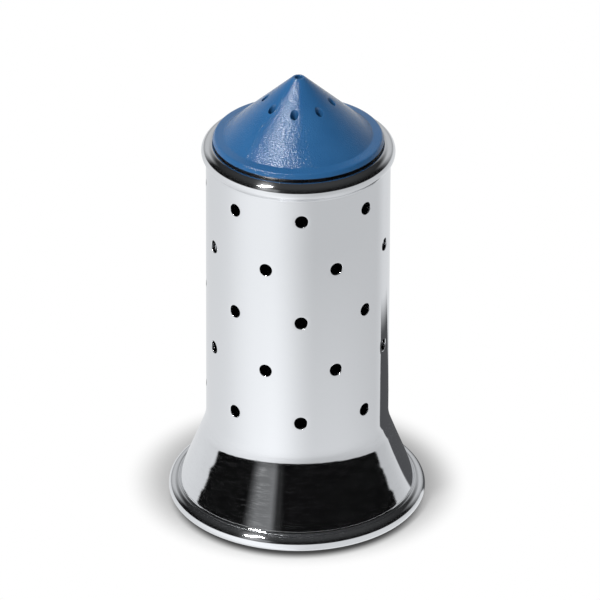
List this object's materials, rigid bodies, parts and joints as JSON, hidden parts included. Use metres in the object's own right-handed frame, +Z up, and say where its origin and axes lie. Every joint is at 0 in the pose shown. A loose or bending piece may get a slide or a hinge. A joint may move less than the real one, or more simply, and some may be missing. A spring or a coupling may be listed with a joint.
{
  "type": "spice shaker",
  "caption": "Table spice shaker: perforated polished steel body on a flared round foot, lift-out inner container and a blue conical pouring cap that plugs into it.",
  "frame": {"origin": "on the table, under the shaker's axis", "axes": "+Z up along the shaker's axis; -Y is the side that the first hole of the tube's lowest row faces"},
  "size_m": [0.05, 0.05, 0.0909],
  "materials": {
    "polished_steel": "mirror-polished stainless steel",
    "black_plastic": "smooth moulded",
    "blue_plastic": "moulded with a fine eroded grain",
    "black_rubber": "matt silicone rubber"
  },
  "bodies": {
    "body": {"perforated_tube": "polished_steel", "flared_skirt": "polished_steel", "rim_ring": "polished_steel", "foot_ring": "polished_steel", "neck_bush": "black_plastic", "base_insert": "black_plastic", "anti_slip_ring": "black_rubber"},
    "container": {"inner_container": "black_plastic"},
    "cap": {"pouring_cap": "blue_plastic", "cap_seal": "black_rubber"}
  },
  "joints": [
    {"name": "container_lift", "type": "slide", "parent": "body", "child": "container", "axis": [0, 0, 1], "range_m": [0, 0.08]},
    {"name": "cap_lift", "type": "slide", "parent": "container", "child": "cap", "axis": [0, 0, 1], "range_m": [0, 0.025]}
  ]
}
